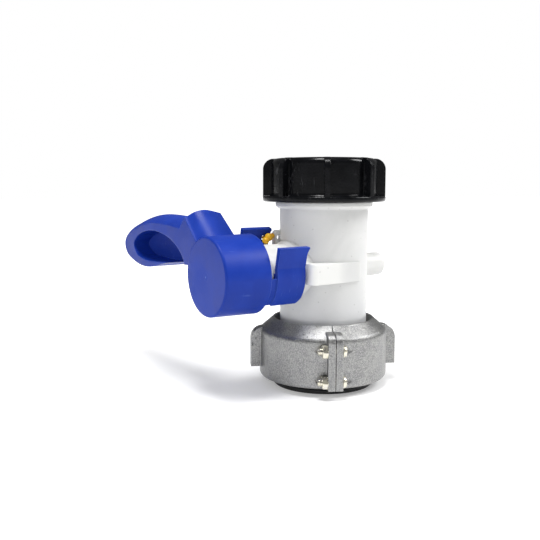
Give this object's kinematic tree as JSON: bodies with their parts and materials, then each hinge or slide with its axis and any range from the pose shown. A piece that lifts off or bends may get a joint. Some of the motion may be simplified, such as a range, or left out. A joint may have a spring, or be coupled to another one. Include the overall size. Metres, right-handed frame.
{
  "type": "ibc tank butterfly valve",
  "caption": "Butterfly valve for an intermediate bulk container: tube body, quarter-turn lever handle, bolted clamp coupling ring and screw cap.",
  "frame": {"origin": "centre of the inlet, at the underside of its rubber seal, where the valve stands", "axes": "+Z along the flow towards the outlet cap; -X along the stem towards the handle's hub; +Y the way the closed lever points"},
  "size_m": [0.1288, 0.1701, 0.1392],
  "materials": {
    "body": "natural polyethylene, milky and slightly translucent",
    "disc": "moulded, satin",
    "handle": "moulded polypropylene, satin blue",
    "cap": "moulded, glossy black",
    "seal_yellow": "moulded yellow security seal",
    "rubber": "matt black rubber",
    "ring": "die cast and tumbled",
    "fasteners": "bright zinc",
    "pins": "ground stainless steel"
  },
  "bodies": {
    "body": {"valve_body": "body", "inlet_seal": "rubber"},
    "rotor": {"handle": "handle", "stem": "disc", "butterfly_disc": "disc", "disc_seal": "rubber", "stem_o_ring_inner": "rubber", "stem_o_ring_outer": "rubber", "disc_pins": "pins", "tamper_seal": "seal_yellow"},
    "coupling_ring": {"clamp_half_far_side": "ring", "clamp_half_hub_side": "ring", "clamp_bolts_front": "fasteners", "clamp_nuts_front": "fasteners", "clamp_bolts_rear": "fasteners", "clamp_nuts_rear": "fasteners"},
    "cap_lifter": {"cap_seal": "rubber"},
    "cap": {"outlet_cap": "cap"}
  },
  "joints": [
    {"name": "handle_turn", "type": "hinge", "parent": "body", "child": "rotor", "pos_m": [0, 0, 0.072], "axis": [1, 0, 0], "range_deg": [0, 90]},
    {"name": "ring_turn", "type": "hinge", "parent": "body", "child": "coupling_ring", "pos_m": [0, 0, 0], "axis": [0, 0, 1], "continuous": true},
    {"name": "cap_lift", "type": "slide", "parent": "body", "child": "cap_lifter", "axis": [0, 0, 1], "range_m": [0, 0.0245]},
    {"name": "cap_turn", "type": "hinge", "parent": "cap_lifter", "child": "cap", "pos_m": [0, 0, 0], "axis": [0, 0, 1], "range_deg": [0, 1440]}
  ],
  "couplings": [
    {"joint": "cap_lift", "follows": "cap_turn", "m_per_rad": 0.00095493}
  ]
}
